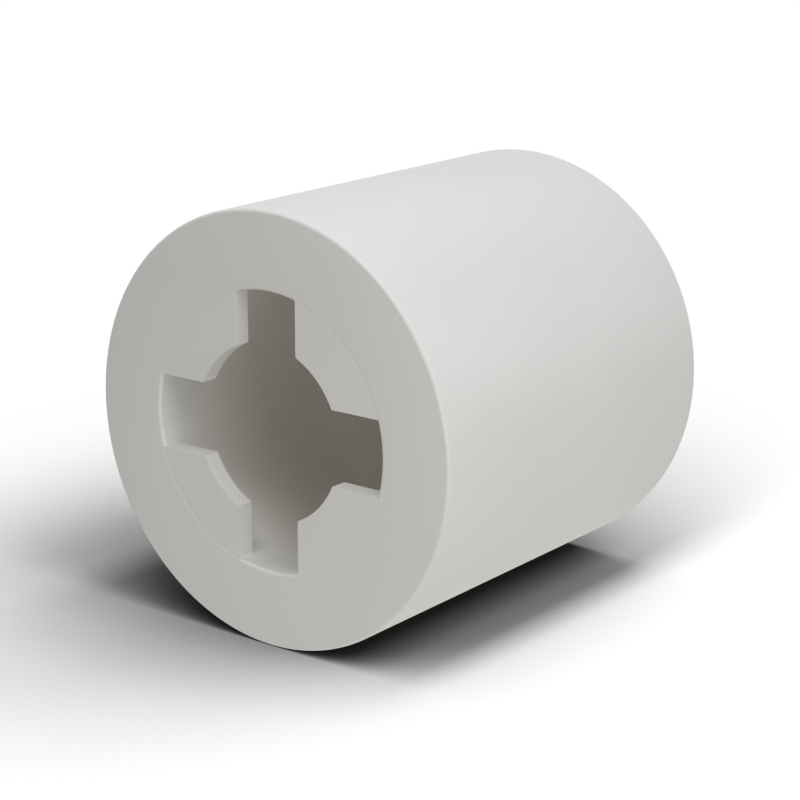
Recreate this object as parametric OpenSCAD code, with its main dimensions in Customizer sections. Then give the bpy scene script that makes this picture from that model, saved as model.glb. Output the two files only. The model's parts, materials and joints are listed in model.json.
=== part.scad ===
// Self-retaining spacer: a short round tube with thin tabs moulded across one end.
// A screw pushed along the bore is gripped by the tabs, which hold the spacer in place.
// It stands on its plain end with the tabs at the top, and its axis is Z.

/* [Tube] */
// Outside diameter of the tube
outer_d = 7; // [6:0.1:12]
// Length from the plain end to the end face round the tabs
length = 7; // [2:0.5:25]
// Diameter of the bore below the tabs
bore_d = 4.5; // [3.6:0.1:5.2]
// Rounding of the rim edges, inside and outside, at both ends
rim_r = 0.06; // [0.02:0.01:0.15]

/* [Retaining tabs] */
// Number of tabs
tab_count = 4; // [3:1:5]
// Thickness of a tab
tab_t = 0.3; // [0.15:0.05:1]
// Diameter of the round opening that the tabs leave for the screw
opening_d = 2.87; // [2.4:0.01:3.4]
// Width of the slot between neighbouring tabs
slot_w = 1.21; // [0.6:0.01:1.4]
// Depth of the tabs' faces below the end face
tab_drop = 0.005; // [0.005:0.005:0.05]

/* [Hidden] */
$fn = 96;
// Natural polyamide, as moulded
nylon = "#DEDDD9";
outer_r = outer_d / 2;
bore_r = bore_d / 2;
opening_r = opening_d / 2;
wall = outer_r - bore_r;
// The tabs' root lies inside the wall, halfway through it
root_r = bore_r + wall / 2;
tab_top = length - tab_drop;
// Angle between one slot and the next
pitch = 360 / tab_count;
// How far a cut runs past the face that it opens
overrun = 0.01;

// What a rounded edge loses: a square corner at the origin, with the material towards +X and +Y
module edge_cut() {
    difference() {
        translate([-overrun, -overrun]) square(rim_r + overrun);
        translate([rim_r, rim_r]) circle(rim_r);
    }
}

// Half section of the tube wall, its four edges rounded
module wall_section() {
    difference() {
        translate([bore_r, 0]) square([wall, length]);
        for (corner = [[bore_r, 0, 0], [outer_r, 0, 90], [outer_r, length, 180], [bore_r, length, 270]])
            translate([corner[0], corner[1]]) rotate(corner[2]) edge_cut();
    }
}

module tube() {
    rotate_extrude() wall_section();
}

// Outline that the slots leave between them, with the round opening in the middle
module tab_outline() {
    difference() {
        circle(root_r);
        circle(opening_r);
        for (i = [0 : tab_count - 1])
            rotate(i * pitch) translate([0, -slot_w / 2]) square([outer_r, slot_w]);
    }
}

module tabs() {
    translate([0, 0, tab_top - tab_t]) linear_extrude(tab_t) tab_outline();
}

module spacer() {
    color(nylon) union() {
        tube();
        tabs();
    }
}

spacer();
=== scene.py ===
"""Dresses a moulded nylon self-retaining spacer.

It makes the one-piece moulding in natural nylon, and the stage: a white table top, soft lamps and a camera.
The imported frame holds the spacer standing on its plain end, with its axis along +Z. The stage is set for a
spacer lying on its side, so the table top runs along its -X side and the camera's upright is +X.
"""

import json
import math

import bpy
from bpy.props import FloatProperty, FloatVectorProperty, IntProperty, PointerProperty
from mathutils import Matrix, Vector


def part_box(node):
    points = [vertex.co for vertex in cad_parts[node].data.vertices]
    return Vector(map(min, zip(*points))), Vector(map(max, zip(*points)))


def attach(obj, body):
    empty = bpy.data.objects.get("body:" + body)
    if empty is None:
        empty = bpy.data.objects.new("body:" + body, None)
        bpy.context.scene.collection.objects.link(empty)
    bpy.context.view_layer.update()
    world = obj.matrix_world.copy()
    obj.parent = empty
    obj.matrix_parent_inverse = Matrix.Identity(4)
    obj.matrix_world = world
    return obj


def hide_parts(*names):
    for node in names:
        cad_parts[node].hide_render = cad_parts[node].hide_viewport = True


bl_info = {
    "name": "Self-Retaining Spacer",
    "version": (1, 0, 0),
    "blender": (4, 5, 0),
    "location": "View3D > Sidebar > Spacer",
    "description": "Makes a moulded nylon spacer whose tabs hold it on a screw",
    "category": "Object",
}

MM = 0.001

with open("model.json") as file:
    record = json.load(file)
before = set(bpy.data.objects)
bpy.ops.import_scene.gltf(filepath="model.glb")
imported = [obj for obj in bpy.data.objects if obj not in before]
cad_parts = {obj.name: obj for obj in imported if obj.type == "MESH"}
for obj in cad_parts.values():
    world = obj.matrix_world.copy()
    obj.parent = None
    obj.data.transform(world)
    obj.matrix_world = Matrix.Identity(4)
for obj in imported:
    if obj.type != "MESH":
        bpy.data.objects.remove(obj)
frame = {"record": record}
NODE = "spacer"
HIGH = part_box(NODE)[1]
MOUNTS = {mount["name"]: mount["dims"] for mount in frame["record"]["mounts"]}


def linear(hex_colour):
    """Linear red, green and blue of an sRGB hex colour."""
    values = [int(hex_colour[i : i + 2], 16) / 255 for i in (1, 3, 5)]
    return tuple(v / 12.92 if v <= 0.04045 else ((v + 0.055) / 1.055) ** 2.4 for v in values)


def add_node(tree, kind, inputs=None, **settings):
    """Adds a node, sets its properties, and gives each input a value, a link or a list of links."""
    node = tree.nodes.new(kind)
    for name, value in settings.items():
        setattr(node, name, value)
    for name, value in (inputs or {}).items():
        for source in value if isinstance(value, list) else [value]:
            if isinstance(source, bpy.types.Node):
                source = source.outputs[0]
            if isinstance(source, bpy.types.NodeSocket):
                tree.links.new(source, node.inputs[name])
            else:
                node.inputs[name].default_value = source
    return node


# ---------------------------------------------------------------- sizes and finish


class SpacerSizes(bpy.types.PropertyGroup):
    """Sizes of the spacer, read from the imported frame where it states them."""

    outer_d: FloatProperty(
        name="Outside diameter", description="Across the tube", default=2 * HIGH.x, min=0.001, unit="LENGTH"
    )
    length: FloatProperty(
        name="Length",
        description="From the plain end to the end face",
        default=HIGH.z,
        min=0.001,
        unit="LENGTH",
    )
    bore_d: FloatProperty(
        name="Bore",
        description="Across the bore",
        default=2 * MOUNTS["bore"]["r_mm"] * MM,
        min=0.001,
        unit="LENGTH",
    )
    opening_d: FloatProperty(
        name="Opening",
        description="Across the opening that the tabs leave for the screw",
        default=2 * MOUNTS["tab_grip"]["r_mm"] * MM,
        min=0.0005,
        unit="LENGTH",
    )
    tab_t: FloatProperty(
        name="Tab thickness",
        description="Thickness of a retaining tab",
        default=MOUNTS["tab_grip"]["length_mm"] * MM,
        min=0.0001,
        unit="LENGTH",
    )
    tab_count: IntProperty(name="Tabs", description="Number of retaining tabs", default=4, min=3, max=5)
    slot_w: FloatProperty(
        name="Slot width",
        description="Width of the slot between two tabs",
        default=1.21 * MM,
        min=0.0001,
        unit="LENGTH",
    )
    tab_drop: FloatProperty(
        name="Tab drop",
        description="Depth of the tabs' faces below the end face",
        default=0.005 * MM,
        min=0.000001,
        precision=6,
        unit="LENGTH",
    )
    rim_r: FloatProperty(
        name="Rim rounding",
        description="Rounding of the rim edges",
        default=0.06 * MM,
        min=0.00001,
        precision=5,
        unit="LENGTH",
    )
    segments: IntProperty(
        name="Segments", description="Facets round the tube", default=384, min=32, max=1024
    )
    rim_steps: IntProperty(
        name="Rim steps", description="Facets across a rounded rim", default=10, min=2, max=32
    )


class NylonFinish(bpy.types.PropertyGroup):
    """Colours and sheen of the natural nylon, and the shade painted into its bore."""

    tint: FloatVectorProperty(
        name="Tint",
        description="Colour of the outside skin",
        default=linear("#E2E1DD"),
        size=3,
        subtype="COLOR",
    )
    shade: FloatVectorProperty(
        name="Shade",
        description="Colour of the skin's darker clouds",
        default=linear("#E0DFDB"),
        size=3,
        subtype="COLOR",
    )
    # Painted shade: the bore's colour is darker and warmer than the skin's, and stands in for the shade deep
    # inside it
    bore: FloatVectorProperty(
        name="Bore",
        description="Colour deep in the bore",
        default=linear("#DCD7CE"),
        size=3,
        subtype="COLOR",
    )
    roughness: FloatProperty(
        name="Roughness", description="Middle value of the skin's roughness", default=0.5, min=0.1, max=1.0
    )


# ---------------------------------------------------------------- the moulding


TAB_VERTICES = 49  # along each of a tab's arcs
SHARP_EDGE = math.radians(15)  # faces that meet at more than this keep a crisp edge


def arc_point(tree, radius, half_slot, pitch, along):
    """Point at a radius, a share along the arc between two slots, each slot half a width to its side."""
    lean = add_node(tree, "ShaderNodeMath", {0: half_slot, 1: radius}, operation="DIVIDE")
    start = add_node(tree, "ShaderNodeMath", {0: lean}, operation="ARCSINE")
    sweep = add_node(tree, "ShaderNodeMath", {0: start, 1: -2.0, 2: pitch}, operation="MULTIPLY_ADD")
    angle = add_node(tree, "ShaderNodeMath", {0: along, 1: sweep, 2: start}, operation="MULTIPLY_ADD")
    across = add_node(tree, "ShaderNodeMath", {0: angle}, operation="COSINE")
    up = add_node(tree, "ShaderNodeMath", {0: angle}, operation="SINE")
    unit = add_node(tree, "ShaderNodeCombineXYZ", {"X": across, "Y": up})
    return add_node(tree, "ShaderNodeVectorMath", {0: unit, "Scale": radius}, operation="SCALE")


def moulding_tree():
    """Node tree that revolves the wall, repeats the tab round the axis and joins them into one skin."""
    tree = bpy.data.node_groups.new("Moulded spacer", "GeometryNodeTree")
    sizes = (
        ("Outside diameter", "NodeSocketFloat"),
        ("Length", "NodeSocketFloat"),
        ("Bore", "NodeSocketFloat"),
        ("Opening", "NodeSocketFloat"),
        ("Tab thickness", "NodeSocketFloat"),
        ("Tabs", "NodeSocketInt"),
        ("Slot width", "NodeSocketFloat"),
        ("Tab drop", "NodeSocketFloat"),
        ("Rim rounding", "NodeSocketFloat"),
        ("Segments", "NodeSocketInt"),
        ("Rim steps", "NodeSocketInt"),
        ("Material", "NodeSocketMaterial"),
    )
    for name, kind in sizes:
        tree.interface.new_socket(name, in_out="INPUT", socket_type=kind)
    tree.interface.new_socket("Geometry", in_out="OUTPUT", socket_type="NodeSocketGeometry")
    given = tree.nodes.new("NodeGroupInput").outputs

    outer_r = add_node(tree, "ShaderNodeMath", {0: given["Outside diameter"], 1: 0.5}, operation="MULTIPLY")
    bore_r = add_node(tree, "ShaderNodeMath", {0: given["Bore"], 1: 0.5}, operation="MULTIPLY")
    wall = add_node(tree, "ShaderNodeMath", {0: outer_r, 1: bore_r}, operation="SUBTRACT")
    middle_r = add_node(tree, "ShaderNodeMath", {0: wall, 1: 0.5, 2: bore_r}, operation="MULTIPLY_ADD")

    # The tube: a rounded section of the wall, carried round a circle
    section = add_node(
        tree,
        "GeometryNodeCurvePrimitiveQuadrilateral",
        {"Width": wall, "Height": given["Length"]},
        mode="RECTANGLE",
    )
    rounded = add_node(
        tree,
        "GeometryNodeFilletCurve",
        {
            "Curve": section,
            "Radius": given["Rim rounding"],
            "Limit Radius": True,
            "Count": given["Rim steps"],
        },
        mode="POLY",
    )
    ring = add_node(
        tree,
        "GeometryNodeCurvePrimitiveCircle",
        {"Resolution": given["Segments"], "Radius": middle_r},
        mode="RADIUS",
    )
    revolved = add_node(tree, "GeometryNodeCurveToMesh", {"Curve": ring, "Profile Curve": rounded})
    half_length = add_node(tree, "ShaderNodeMath", {0: given["Length"], 1: 0.5}, operation="MULTIPLY")
    lift = add_node(tree, "ShaderNodeCombineXYZ", {"Z": half_length})
    tube = add_node(tree, "GeometryNodeTransform", {"Geometry": revolved, "Translation": lift})

    # One tab: a block bent to fill the space between two slots, its root inside the wall
    block = add_node(tree, "GeometryNodeMeshCube", {"Size": (1.0, 1.0, 1.0), "Vertices X": TAB_VERTICES})
    place = add_node(tree, "GeometryNodeInputPosition")
    share = add_node(tree, "ShaderNodeVectorMath", {0: place, 1: (0.5, 0.5, 0.5)}, operation="ADD")
    along, outward, upward = add_node(tree, "ShaderNodeSeparateXYZ", {0: share}).outputs
    half_slot = add_node(tree, "ShaderNodeMath", {0: given["Slot width"], 1: 0.5}, operation="MULTIPLY")
    pitch = add_node(tree, "ShaderNodeMath", {0: math.tau, 1: given["Tabs"]}, operation="DIVIDE")
    opening_r = add_node(tree, "ShaderNodeMath", {0: given["Opening"], 1: 0.5}, operation="MULTIPLY")
    tip = arc_point(tree, opening_r, half_slot, pitch, along)
    root = arc_point(tree, middle_r, half_slot, pitch, along)
    reach = add_node(tree, "ShaderNodeVectorMath", {0: root, 1: tip}, operation="SUBTRACT")
    run = add_node(tree, "ShaderNodeVectorMath", {0: reach, "Scale": outward}, operation="SCALE")
    flat = add_node(tree, "ShaderNodeVectorMath", {0: run, 1: tip}, operation="ADD")
    top = add_node(tree, "ShaderNodeMath", {0: given["Length"], 1: given["Tab drop"]}, operation="SUBTRACT")
    under = add_node(tree, "ShaderNodeMath", {0: top, 1: given["Tab thickness"]}, operation="SUBTRACT")
    height = add_node(
        tree, "ShaderNodeMath", {0: upward, 1: given["Tab thickness"], 2: under}, operation="MULTIPLY_ADD"
    )
    level = add_node(tree, "ShaderNodeCombineXYZ", {"Z": height})
    spot = add_node(tree, "ShaderNodeVectorMath", {0: flat, 1: level}, operation="ADD")
    bent = add_node(tree, "GeometryNodeSetPosition", {"Geometry": block, "Position": spot})
    tab = add_node(tree, "GeometryNodeFlipFaces", {"Mesh": bent})

    # The tabs repeat round the axis
    centres = add_node(tree, "GeometryNodePoints", {"Count": given["Tabs"]})
    which = add_node(tree, "GeometryNodeInputIndex")
    turn = add_node(tree, "ShaderNodeMath", {0: which, 1: pitch}, operation="MULTIPLY")
    spin = add_node(tree, "ShaderNodeCombineXYZ", {"Z": turn})
    about_axis = add_node(tree, "FunctionNodeEulerToRotation", {0: spin})
    copies = add_node(
        tree, "GeometryNodeInstanceOnPoints", {"Points": centres, "Instance": tab, "Rotation": about_axis}
    )
    tabs = add_node(tree, "GeometryNodeRealizeInstances", {"Geometry": copies})

    joined = add_node(tree, "GeometryNodeMeshBoolean", {1: [tube, tabs]}, operation="UNION", solver="EXACT")
    smooth = add_node(tree, "GeometryNodeSetShadeSmooth", {0: joined, "Shade Smooth": True})
    edge = add_node(tree, "GeometryNodeInputMeshEdgeAngle")
    sharp = add_node(tree, "FunctionNodeCompare", {0: edge, 1: SHARP_EDGE}, operation="GREATER_THAN")
    creased = add_node(
        tree,
        "GeometryNodeSetShadeSmooth",
        {0: smooth, "Selection": sharp, "Shade Smooth": False},
        domain="EDGE",
    )
    real = add_node(tree, "GeometryNodeRealizeInstances", {"Geometry": creased})
    finished = add_node(tree, "GeometryNodeSetMaterial", {"Geometry": real, "Material": given["Material"]})
    add_node(tree, "NodeGroupOutput", {0: finished})
    return tree


def set_inputs(modifier, values):
    """Gives a Geometry Nodes modifier its inputs, found by name and set by identifier."""
    for item in modifier.node_group.interface.items_tree:
        if item.item_type == "SOCKET" and item.in_out == "INPUT":
            modifier[item.identifier] = values[item.name]


def plain_mesh(obj, name):
    """The evaluated shape of an object as a mesh of its own."""
    bpy.context.view_layer.update()
    depsgraph = bpy.context.evaluated_depsgraph_get()
    mesh = bpy.data.meshes.new_from_object(
        obj.evaluated_get(depsgraph), preserve_all_data_layers=True, depsgraph=depsgraph
    )
    mesh.name = name
    return mesh


BORE_BAND = 0.02 * MM  # how far outside the bore's radius its painted shade has faded
BORE_SHADE_DEPTH = 2 * MM  # how far below the tabs the bore's painted shade has come in fully


def moulded_nylon(finish, bore_r, bore_top):
    """Natural nylon 6.6, injection moulded: warm off-white, with the soft sheen of a spark finish, and
    painted shade deep in the bore.
    """
    material = bpy.data.materials.new("Moulded natural nylon")
    material.use_nodes = True
    tree = material.node_tree
    tree.nodes.clear()
    place = add_node(tree, "ShaderNodeTexCoord").outputs["Object"]

    # The melt cools at its own pace from place to place, which leaves clouds of tone about 2 mm across
    cloud = add_node(tree, "ShaderNodeTexNoise", {"Vector": place, "Scale": 1 / (2 * MM), "Detail": 2.0})
    patch = add_node(tree, "ShaderNodeMapRange", {0: cloud.outputs["Fac"], 1: 0.35, 2: 0.65})
    skin_tone = add_node(
        tree, "ShaderNodeMix", {0: patch, 6: (*finish.shade, 1), 7: (*finish.tint, 1)}, data_type="RGBA"
    )

    # Painted shade: the bore is coloured darker and warmer than the skin, more so the deeper it lies
    spot = add_node(tree, "ShaderNodeSeparateXYZ", {0: place})
    across = add_node(tree, "ShaderNodeCombineXYZ", {"X": spot.outputs["X"], "Y": spot.outputs["Y"]})
    radius = add_node(tree, "ShaderNodeVectorMath", {0: across}, operation="LENGTH")
    inside = add_node(
        tree,
        "ShaderNodeMapRange",
        {0: radius.outputs["Value"], 1: bore_r, 2: bore_r + BORE_BAND, 3: 1.0, 4: 0.0},
    )
    depth = add_node(
        tree,
        "ShaderNodeMapRange",
        {0: spot.outputs["Z"], 1: bore_top - BORE_SHADE_DEPTH, 2: bore_top, 3: 1.0, 4: 0.0},
        interpolation_type="SMOOTHSTEP",
    )
    # How much painted shade the bore gets: inside its radius, and more below the tabs
    deep = add_node(tree, "ShaderNodeMath", {0: inside, 1: depth}, operation="MULTIPLY")
    colour = add_node(
        tree,
        "ShaderNodeMix",
        {0: deep, 6: skin_tone.outputs[2], 7: (*finish.bore, 1)},
        data_type="RGBA",
    )

    # Spark finish of the mould: pits about 0.05 mm across, softened as the nylon shrinks away from them
    grain = add_node(tree, "ShaderNodeTexNoise", {"Vector": place, "Scale": 1 / (0.05 * MM), "Detail": 2.0})
    relief = add_node(
        tree, "ShaderNodeBump", {"Height": grain.outputs["Fac"], "Strength": 0.25, "Distance": 0.0015 * MM}
    )
    # The sheen drifts a little where the skin filled slower, in patches of half a millimetre
    drift = add_node(tree, "ShaderNodeTexNoise", {"Vector": place, "Scale": 1 / (0.5 * MM), "Detail": 3.0})
    sheen = add_node(
        tree,
        "ShaderNodeMapRange",
        {0: drift.outputs["Fac"], 1: 0.3, 2: 0.7, 3: finish.roughness - 0.04, 4: finish.roughness + 0.04},
    )
    skin = add_node(
        tree,
        "ShaderNodeBsdfPrincipled",
        {"Base Color": colour.outputs[2], "Roughness": sheen, "Normal": relief, "IOR": 1.53},
    )
    add_node(tree, "ShaderNodeOutputMaterial", {"Surface": skin})
    return material


class SPACER_OT_moulding(bpy.types.Operator):
    """Makes the one-piece moulding, tube and tabs, in natural nylon"""

    bl_idname = "spacer.moulding"
    bl_label = "Make the Moulding"

    def execute(self, context):
        sizes = context.scene.spacer_sizes
        under_tabs = sizes.length - sizes.tab_drop - sizes.tab_t
        nylon = moulded_nylon(context.scene.spacer_finish, sizes.bore_d / 2, under_tabs)
        piece = bpy.data.objects.new("spacer_moulding", bpy.data.meshes.new("spacer_moulding"))
        context.scene.collection.objects.link(piece)
        shaper = piece.modifiers.new("Moulding", "NODES")
        shaper.node_group = moulding_tree()
        set_inputs(
            shaper,
            {
                "Outside diameter": sizes.outer_d,
                "Length": sizes.length,
                "Bore": sizes.bore_d,
                "Opening": sizes.opening_d,
                "Tab thickness": sizes.tab_t,
                "Tabs": sizes.tab_count,
                "Slot width": sizes.slot_w,
                "Tab drop": sizes.tab_drop,
                "Rim rounding": sizes.rim_r,
                "Segments": sizes.segments,
                "Rim steps": sizes.rim_steps,
                "Material": nylon,
            },
        )
        piece.modifiers.new("Flat faces stay flat", "WEIGHTED_NORMAL").keep_sharp = True
        piece.data = plain_mesh(piece, "spacer_moulding")
        piece.modifiers.clear()
        if not piece.data.polygons:
            raise RuntimeError("the moulding came out empty")
        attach(piece, "root")
        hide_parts(NODE)
        return {"FINISHED"}


# ---------------------------------------------------------------- the stage


class StageSettings(bpy.types.PropertyGroup):
    """Camera, table top and lights, for a spacer that lies on its side with its -X side down."""

    view_turn: FloatProperty(
        name="View turn",
        description="How far the view is turned round the table's upright from the spacer's axis",
        default=math.radians(37.67),
        subtype="ANGLE",
        unit="ROTATION",
    )
    view_height: FloatProperty(
        name="View height",
        description="How far the view looks down on the table top",
        default=math.radians(15.72),
        subtype="ANGLE",
        unit="ROTATION",
    )
    view_distance: FloatProperty(
        name="View distance", description="Camera's distance, in outside radii", default=11.315, min=4.0
    )
    view_aim: FloatVectorProperty(
        name="Aim",
        description="Point that the camera looks at, in outside radii",
        default=(-0.2699, 0.4548, 0.4471),
    )
    lens: FloatProperty(name="Lens", description="Focal length in millimetres", default=100.0, min=10.0)
    lamp_spread: FloatProperty(
        name="Lamp spread",
        description="How wide each of the spacer's lamps looks from the spacer",
        default=math.radians(26),
        subtype="ANGLE",
        unit="ROTATION",
    )
    light_level: FloatProperty(
        name="Light level", description="Strength of the spacer's lamps together", default=1.022, min=0.0
    )
    near_bounce: FloatProperty(
        name="Near bounce",
        description="Strength of the light that the table throws back up close to the spacer",
        default=0.732,
        min=0.0,
    )
    far_bounce: FloatProperty(
        name="Far bounce",
        description="Strength of the light that the table throws back up far from the spacer",
        default=0.266,
        min=0.0,
    )
    lit_reach: FloatProperty(
        name="Lit reach",
        description="Where the bounce starts to fade, in outside radii from the spacer",
        default=3.0,
        min=0.0,
    )
    unlit_reach: FloatProperty(
        name="Unlit reach",
        description="Where the bounce has faded, in outside radii from the spacer",
        default=8.0,
        min=0.1,
    )
    lamp_tint: FloatVectorProperty(
        name="Lamp tint",
        description="Colour of the spacer's lamps, a shade cool",
        default=linear("#FCFCFF"),
        size=3,
        subtype="COLOR",
    )
    bounce_tint: FloatVectorProperty(
        name="Bounce tint",
        description="Colour of the light off the table, a shade warm",
        default=linear("#FFFEFB"),
        size=3,
        subtype="COLOR",
    )
    table_tone: FloatProperty(
        name="Table tone",
        description="How much of its lamps' light the table returns to the camera",
        default=0.1,
        min=0.0,
    )
    table_lamp_distance: FloatProperty(
        name="Table lamp distance",
        description="How far off the table's lamps hang, in outside radii",
        default=60.0,
    )
    shadow_depth: FloatProperty(
        name="Shadow depth",
        description="How strongly the shelter under the spacer darkens the table",
        default=1.79,
    )
    shadow_lean: FloatVectorProperty(
        name="Shadow lean",
        description="Direction from which light reaches the sheltered part of the table",
        default=(0.739, -0.657, -0.149),
        size=3,
        subtype="DIRECTION",
    )
    near_reach: FloatProperty(
        name="Near reach",
        description="Where the table starts turning plain white, in outside radii from the spacer",
        default=1.5,
    )
    far_reach: FloatProperty(
        name="Far reach",
        description="Where the table is all plain white, in outside radii from the spacer",
        default=4.0,
    )


# Soft round lamps that light the spacer, not the table: direction from its middle, distance in outside
# radii, and share of the light
SPACER_LAMPS = (
    ("Far side lamp", (0.82, 0.53, 0.19), 10.0, 0.245),
    ("Tab end lamp", (0.86, -0.13, 0.49), 10.0, 0.229),
    ("Plain end lamp", (0.95, 0.03, -0.32), 10.0, 0.179),
    ("Near side lamp", (0.53, -0.7, 0.48), 10.0, 0.143),
    ("Overhead lamp", (0.8, -0.55, 0.23), 10.0, 0.128),
    ("Back side lamp", (0.47, -0.84, -0.27), 5.0, 0.124),
    ("Low side lamp", (0.1, -0.95, 0.3), 10.0, 0.094),
    ("Low front lamp", (0.1, -0.7, 0.7), 5.0, 0.083),
)

# Far lamps that light only the table and shape the shadow: direction from the spacer's middle, length and
# width in outside radii, and share. They are strong because the table returns only a tenth of what falls
# on it, so that the light the spacer throws back hardly fills its shadow.
TABLE_LAMPS = (
    ("Table strip lamp", (0.901, -0.186, 0.391), 114.0, 15.8, 14.27),
    ("Table side lamp", (0.755, -0.648, 0.097), 26.0, 26.0, 4.15),
)


TABLE_HALF = 60  # half the table's width in outside radii, which puts its edge where all is plain white
SHELTER_REACH = 40  # how far off a surface still shelters the table, in outside radii


def white_table(stage, length, outer_r):
    """Matte white table top, darkened where the spacer shelters it, and clear when seen from below."""
    material = bpy.data.materials.new("Matte white table top")
    material.use_nodes = True
    tree = material.node_tree
    tree.nodes.clear()

    # Distance from the line along which the spacer lies on the table: further off the table is plain white
    place = add_node(tree, "ShaderNodeTexCoord")
    spot = add_node(tree, "ShaderNodeSeparateXYZ", {0: place.outputs["Object"]})
    beside = add_node(tree, "ShaderNodeClamp", {0: spot.outputs["Z"], "Min": 0.0, "Max": length})
    ahead = add_node(tree, "ShaderNodeMath", {0: spot.outputs["Z"], 1: beside}, operation="SUBTRACT")
    offset = add_node(tree, "ShaderNodeCombineXYZ", {"X": spot.outputs["Y"], "Y": ahead})
    away = add_node(tree, "ShaderNodeVectorMath", {0: offset}, operation="LENGTH")
    open_table = add_node(
        tree,
        "ShaderNodeMapRange",
        {0: away.outputs["Value"], 1: stage.near_reach * outer_r, 2: stage.far_reach * outer_r},
        interpolation_type="SMOOTHSTEP",
    )

    # What the camera sees: the lamps' soft shadows, deepened where the spacer leans over the table
    lean = add_node(tree, "ShaderNodeCombineXYZ", dict(zip("XYZ", stage.shadow_lean)))
    shelter = add_node(
        tree, "ShaderNodeAmbientOcclusion", {"Distance": SHELTER_REACH * outer_r, "Normal": lean}, samples=32
    )
    depth = add_node(
        tree, "ShaderNodeMath", {0: shelter.outputs["AO"], 1: stage.shadow_depth}, operation="POWER"
    )
    tone = add_node(tree, "ShaderNodeMath", {0: depth, 1: stage.table_tone}, operation="MULTIPLY")
    matte = add_node(tree, "ShaderNodeBsdfDiffuse", {"Color": tone})
    plain = add_node(tree, "ShaderNodeEmission", {"Color": (1, 1, 1, 1), "Strength": 1.0})
    seen = add_node(tree, "ShaderNodeMixShader", {0: open_table, 1: matte, 2: plain})
    # What the spacer gets from it: the light that a white table throws back up, weaker further off
    thrown = add_node(
        tree,
        "ShaderNodeMapRange",
        {
            0: away.outputs["Value"],
            1: stage.lit_reach * outer_r,
            2: stage.unlit_reach * outer_r,
            3: stage.near_bounce,
            4: stage.far_bounce,
        },
        interpolation_type="SMOOTHSTEP",
    )
    bounce = add_node(tree, "ShaderNodeEmission", {"Color": (*stage.bounce_tint, 1), "Strength": thrown})
    path = add_node(tree, "ShaderNodeLightPath")
    top = add_node(tree, "ShaderNodeMixShader", {0: path.outputs["Is Camera Ray"], 1: bounce, 2: seen})
    side = add_node(tree, "ShaderNodeNewGeometry")
    clear = add_node(tree, "ShaderNodeBsdfTransparent")
    surface = add_node(tree, "ShaderNodeMixShader", {0: side.outputs["Backfacing"], 1: top, 2: clear})
    add_node(tree, "ShaderNodeOutputMaterial", {"Surface": surface})
    material.cycles.emission_sampling = "NONE"
    return material


def white_surround():
    """World that is plain white behind everything and in the nylon's sheen, and gives no other light."""
    world = bpy.data.worlds.new("White surround")
    world.use_nodes = True
    tree = world.node_tree
    tree.nodes.clear()
    path = add_node(tree, "ShaderNodeLightPath").outputs
    mirrored = add_node(
        tree, "ShaderNodeMath", {0: path["Is Camera Ray"], 1: path["Is Glossy Ray"]}, operation="ADD"
    )
    seen = add_node(
        tree,
        "ShaderNodeMath",
        {0: mirrored, 1: path["Is Transmission Ray"]},
        operation="ADD",
        use_clamp=True,
    )
    white = add_node(tree, "ShaderNodeBackground", {"Color": (1, 1, 1, 1), "Strength": seen})
    add_node(tree, "ShaderNodeOutputWorld", {"Surface": white})
    return world


def aimed(name, data, eye, forward, up):
    """Places a camera or lamp at a point, looking along forward with up towards its top edge."""
    obj = bpy.data.objects.new(name, data)
    bpy.context.scene.collection.objects.link(obj)
    right = forward.cross(up).normalized()
    top = right.cross(forward).normalized()
    turned = Matrix((right, top, -forward.normalized())).transposed().to_4x4()
    obj.matrix_world = Matrix.Translation(eye) @ turned
    return obj


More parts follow.
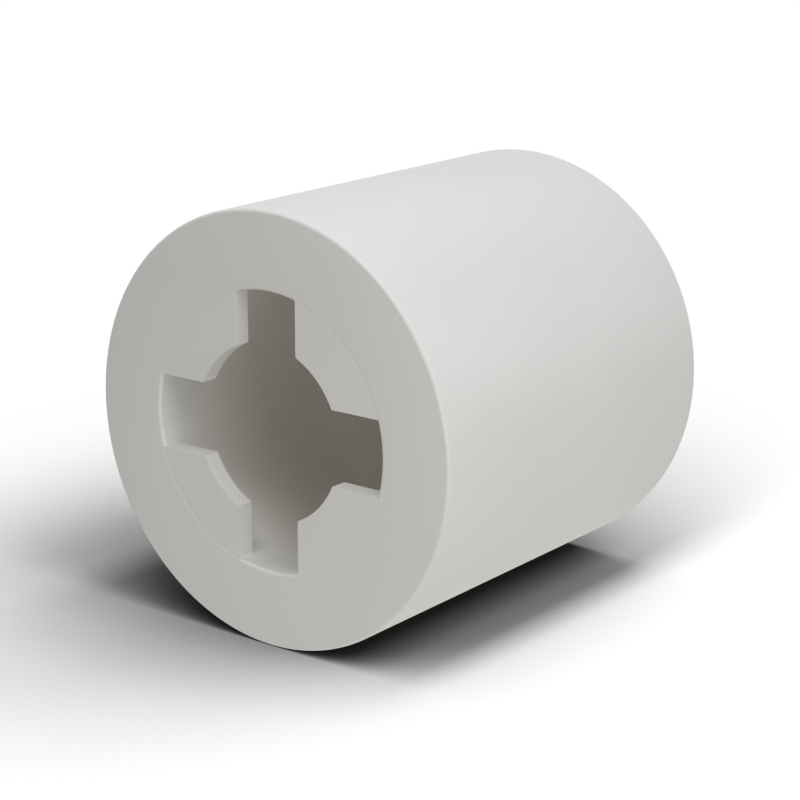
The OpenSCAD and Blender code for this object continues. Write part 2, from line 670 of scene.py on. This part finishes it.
class SPACER_OT_stage(bpy.types.Operator):
    """Sets the table top, the lights and the camera"""

    bl_idname = "spacer.stage"
    bl_label = "Set the Stage"

    def execute(self, context):
        scene = context.scene
        sizes = scene.spacer_sizes
        stage = scene.spacer_stage
        outer_r = sizes.outer_d / 2
        upright = Vector((1, 0, 0))
        scene.view_settings.view_transform = "Standard"

        camera = bpy.data.cameras.new("Camera")
        camera.lens = stage.lens
        camera.sensor_width = 36
        camera.clip_start = 0.001
        level = Vector((0, -math.sin(stage.view_turn), math.cos(stage.view_turn)))
        outward = level * math.cos(stage.view_height) + upright * math.sin(stage.view_height)
        eye = (Vector(stage.view_aim) + outward * stage.view_distance) * outer_r
        scene.camera = aimed("Camera", camera, eye, -outward, upright)

        scene.world = white_surround()
        half = TABLE_HALF * outer_r
        corners = ((-half, -half), (half, -half), (half, half), (-half, half))
        mesh = bpy.data.meshes.new("table_top")
        mesh.from_pydata([(-outer_r, y, z) for y, z in corners], [], [(0, 1, 2, 3)])
        mesh.materials.append(white_table(stage, sizes.length, outer_r))
        table = bpy.data.objects.new("table_top", mesh)
        scene.collection.objects.link(table)

        # The table has lamps of its own, so its shadow is set apart from the light on the spacer
        table_alone = bpy.data.collections.new("Table alone")
        all_but_table = bpy.data.collections.new("All but the table")
        for receivers, state in ((table_alone, "INCLUDE"), (all_but_table, "EXCLUDE")):
            receivers.objects.link(table)
            receivers.collection_objects[0].light_linking.link_state = state

        middle = Vector((0, 0, sizes.length / 2))
        for name, direction, distance, share in SPACER_LAMPS:
            reach = distance * outer_r
            lamp = bpy.data.lights.new(name, "AREA")
            lamp.shape = "DISK"
            lamp.size = 2 * reach * math.tan(stage.lamp_spread / 2)
            lamp.color = stage.lamp_tint
            # At a light level of 1, a share of 1 renders a colour that faces the lamp just as it is written
            lamp.energy = (math.pi * reach) ** 2 * share * stage.light_level
            toward = Vector(direction).normalized()
            hung = aimed(name, lamp, middle + toward * reach, -toward, Vector((0, 0, 1)))
            hung.visible_camera = False
            hung.light_linking.receiver_collection = all_but_table
        reach = stage.table_lamp_distance * outer_r
        for name, direction, long, wide, share in TABLE_LAMPS:
            lamp = bpy.data.lights.new(name, "AREA")
            lamp.shape = "RECTANGLE"
            lamp.size = wide * outer_r
            lamp.size_y = long * outer_r
            lamp.energy = (math.pi * reach) ** 2 * share
            toward = Vector(direction)
            hung = aimed(name, lamp, middle + toward * reach, -toward, Vector((0, 0, 1)))
            hung.visible_camera = False
            hung.light_linking.receiver_collection = table_alone
        return {"FINISHED"}


class SPACER_PT_panel(bpy.types.Panel):
    """Shows the spacer's sizes, finish and stage, and the buttons that make the moulding and the stage"""

    bl_idname = "SPACER_PT_panel"
    bl_label = "Self-Retaining Spacer"
    bl_space_type = "VIEW_3D"
    bl_region_type = "UI"
    bl_category = "Spacer"

    def draw(self, context):
        layout = self.layout
        for group in (context.scene.spacer_sizes, context.scene.spacer_finish, context.scene.spacer_stage):
            box = layout.box()
            for name in group.__annotations__:
                box.prop(group, name)
        layout.operator(SPACER_OT_moulding.bl_idname)
        layout.operator(SPACER_OT_stage.bl_idname)


CLASSES = (SpacerSizes, NylonFinish, StageSettings, SPACER_OT_moulding, SPACER_OT_stage, SPACER_PT_panel)


def register():
    for cls in CLASSES:
        bpy.utils.register_class(cls)
    bpy.types.Scene.spacer_sizes = PointerProperty(type=SpacerSizes)
    bpy.types.Scene.spacer_finish = PointerProperty(type=NylonFinish)
    bpy.types.Scene.spacer_stage = PointerProperty(type=StageSettings)


def unregister():
    del bpy.types.Scene.spacer_stage
    del bpy.types.Scene.spacer_finish
    del bpy.types.Scene.spacer_sizes
    for cls in reversed(CLASSES):
        bpy.utils.unregister_class(cls)


def main():
    register()
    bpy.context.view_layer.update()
    bpy.ops.spacer.moulding()
    bpy.ops.spacer.stage()


if __name__ == "__main__":
    main()
